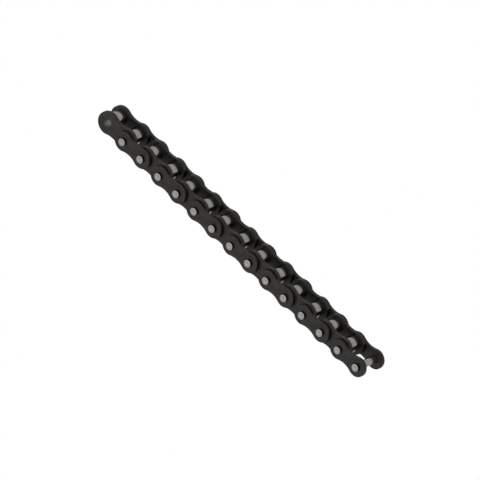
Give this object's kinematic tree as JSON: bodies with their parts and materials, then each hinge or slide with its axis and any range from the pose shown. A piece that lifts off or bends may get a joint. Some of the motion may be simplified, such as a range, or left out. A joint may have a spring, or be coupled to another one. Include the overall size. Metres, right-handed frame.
{
  "type": "drive chain",
  "caption": "Straight length of motorcycle roller drive chain: black figure-of-eight plates, bright rollers and riveted pins, free to bend at every pin.",
  "frame": {"origin": "on the surface the chain lies on, below the middle of its length", "axes": "+X along the straight chain, towards its open bushing end; +Y across the height of the plates; +Z along the pins, upwards"},
  "size_m": [0.236, 0.0146, 0.0228],
  "materials": {
    "black_plate": "satin black oxide",
    "pin_steel": "ground steel",
    "roller_steel": "satin polished steel"
  },
  "bodies": {
    "link_01": {"bushed_plate_01": "black_plate", "inner_plate_01": "black_plate"},
    "link_02": {"outer_plate_02_lower": "black_plate", "outer_plate_02_upper": "black_plate", "pin_02": "pin_steel", "pin_03": "pin_steel"},
    "link_03": {"bushed_plate_03": "black_plate", "inner_plate_03": "black_plate"},
    "link_04": {"outer_plate_04_lower": "black_plate", "outer_plate_04_upper": "black_plate", "pin_04": "pin_steel", "pin_05": "pin_steel"},
    "link_05": {"bushed_plate_05": "black_plate", "inner_plate_05": "black_plate"},
    "link_06": {"outer_plate_06_lower": "black_plate", "outer_plate_06_upper": "black_plate", "pin_06": "pin_steel", "pin_07": "pin_steel"},
    "link_07": {"bushed_plate_07": "black_plate", "inner_plate_07": "black_plate"},
    "link_08": {"outer_plate_08_lower": "black_plate", "outer_plate_08_upper": "black_plate", "pin_08": "pin_steel", "pin_09": "pin_steel"},
    "link_09": {"bushed_plate_09": "black_plate", "inner_plate_09": "black_plate"},
    "link_10": {"outer_plate_10_lower": "black_plate", "outer_plate_10_upper": "black_plate", "pin_10": "pin_steel", "pin_11": "pin_steel"},
    "link_11": {"bushed_plate_11": "black_plate", "inner_plate_11": "black_plate"},
    "link_12": {"outer_plate_12_lower": "black_plate", "outer_plate_12_upper": "black_plate", "pin_12": "pin_steel", "pin_13": "pin_steel"},
    "link_13": {"bushed_plate_13": "black_plate", "inner_plate_13": "black_plate"},
    "link_14": {"outer_plate_14_lower": "black_plate", "outer_plate_14_upper": "black_plate", "pin_14": "pin_steel", "pin_15": "pin_steel"},
    "roller_01": {"roller_01": "roller_steel"},
    "roller_02": {"roller_02": "roller_steel"},
    "roller_03": {"roller_03": "roller_steel"},
    "roller_04": {"roller_04": "roller_steel"},
    "roller_05": {"roller_05": "roller_steel"},
    "roller_06": {"roller_06": "roller_steel"},
    "roller_07": {"roller_07": "roller_steel"},
    "roller_08": {"roller_08": "roller_steel"},
    "roller_09": {"roller_09": "roller_steel"},
    "roller_10": {"roller_10": "roller_steel"},
    "roller_11": {"roller_11": "roller_steel"},
    "roller_12": {"roller_12": "roller_steel"},
    "roller_13": {"roller_13": "roller_steel"},
    "roller_14": {"roller_14": "roller_steel"}
  },
  "joints": [
    {"name": "pivot_02", "type": "hinge", "parent": "link_01", "child": "link_02", "pos_m": [0.09475, 0, 0.01142], "axis": [0, 0, 1], "range_deg": [-110, 110]},
    {"name": "pivot_03", "type": "hinge", "parent": "link_02", "child": "link_03", "pos_m": [0.07888, 0, 0.01142], "axis": [0, 0, -1], "range_deg": [-110, 110]},
    {"name": "pivot_04", "type": "hinge", "parent": "link_03", "child": "link_04", "pos_m": [0.063, 0, 0.01142], "axis": [0, 0, 1], "range_deg": [-110, 110]},
    {"name": "pivot_05", "type": "hinge", "parent": "link_04", "child": "link_05", "pos_m": [0.04713, 0, 0.01142], "axis": [0, 0, -1], "range_deg": [-110, 110]},
    {"name": "pivot_06", "type": "hinge", "parent": "link_05", "child": "link_06", "pos_m": [0.03125, 0, 0.01142], "axis": [0, 0, 1], "range_deg": [-110, 110]},
    {"name": "pivot_07", "type": "hinge", "parent": "link_06", "child": "link_07", "pos_m": [0.01537, 0, 0.01142], "axis": [0, 0, -1], "range_deg": [-110, 110]},
    {"name": "pivot_08", "type": "hinge", "parent": "link_07", "child": "link_08", "pos_m": [-0.0005, 0, 0.01142], "axis": [0, 0, 1], "range_deg": [-110, 110]},
    {"name": "pivot_09", "type": "hinge", "parent": "link_08", "child": "link_09", "pos_m": [-0.01638, 0, 0.01142], "axis": [0, 0, -1], "range_deg": [-110, 110]},
    {"name": "pivot_10", "type": "hinge", "parent": "link_09", "child": "link_10", "pos_m": [-0.03225, 0, 0.01142], "axis": [0, 0, 1], "range_deg": [-110, 110]},
    {"name": "pivot_11", "type": "hinge", "parent": "link_10", "child": "link_11", "pos_m": [-0.04813, 0, 0.01142], "axis": [0, 0, -1], "range_deg": [-110, 110]},
    {"name": "pivot_12", "type": "hinge", "parent": "link_11", "child": "link_12", "pos_m": [-0.064, 0, 0.01142], "axis": [0, 0, 1], "range_deg": [-110, 110]},
    {"name": "pivot_13", "type": "hinge", "parent": "link_12", "child": "link_13", "pos_m": [-0.07988, 0, 0.01142], "axis": [0, 0, -1], "range_deg": [-110, 110]},
    {"name": "pivot_14", "type": "hinge", "parent": "link_13", "child": "link_14", "pos_m": [-0.09575, 0, 0.01142], "axis": [0, 0, 1], "range_deg": [-110, 110]},
    {"name": "roller_01_spin", "type": "hinge", "parent": "link_01", "child": "roller_01", "pos_m": [0.11063, 0, 0.01142], "axis": [0, 0, 1], "continuous": true},
    {"name": "roller_02_spin", "type": "hinge", "parent": "link_01", "child": "roller_02", "pos_m": [0.09475, 0, 0.01142], "axis": [0, 0, 1], "continuous": true},
    {"name": "roller_03_spin", "type": "hinge", "parent": "link_03", "child": "roller_03", "pos_m": [0.07888, 0, 0.01142], "axis": [0, 0, 1], "continuous": true},
    {"name": "roller_04_spin", "type": "hinge", "parent": "link_03", "child": "roller_04", "pos_m": [0.063, 0, 0.01142], "axis": [0, 0, 1], "continuous": true},
    {"name": "roller_05_spin", "type": "hinge", "parent": "link_05", "child": "roller_05", "pos_m": [0.04713, 0, 0.01142], "axis": [0, 0, 1], "continuous": true},
    {"name": "roller_06_spin", "type": "hinge", "parent": "link_05", "child": "roller_06", "pos_m": [0.03125, 0, 0.01142], "axis": [0, 0, 1], "continuous": true},
    {"name": "roller_07_spin", "type": "hinge", "parent": "link_07", "child": "roller_07", "pos_m": [0.01537, 0, 0.01142], "axis": [0, 0, 1], "continuous": true},
    {"name": "roller_08_spin", "type": "hinge", "parent": "link_07", "child": "roller_08", "pos_m": [-0.0005, 0, 0.01142], "axis": [0, 0, 1], "continuous": true},
    {"name": "roller_09_spin", "type": "hinge", "parent": "link_09", "child": "roller_09", "pos_m": [-0.01638, 0, 0.01142], "axis": [0, 0, 1], "continuous": true},
    {"name": "roller_10_spin", "type": "hinge", "parent": "link_09", "child": "roller_10", "pos_m": [-0.03225, 0, 0.01142], "axis": [0, 0, 1], "continuous": true},
    {"name": "roller_11_spin", "type": "hinge", "parent": "link_11", "child": "roller_11", "pos_m": [-0.04813, 0, 0.01142], "axis": [0, 0, 1], "continuous": true},
    {"name": "roller_12_spin", "type": "hinge", "parent": "link_11", "child": "roller_12", "pos_m": [-0.064, 0, 0.01142], "axis": [0, 0, 1], "continuous": true},
    {"name": "roller_13_spin", "type": "hinge", "parent": "link_13", "child": "roller_13", "pos_m": [-0.07988, 0, 0.01142], "axis": [0, 0, 1], "continuous": true},
    {"name": "roller_14_spin", "type": "hinge", "parent": "link_13", "child": "roller_14", "pos_m": [-0.09575, 0, 0.01142], "axis": [0, 0, 1], "continuous": true}
  ]
}
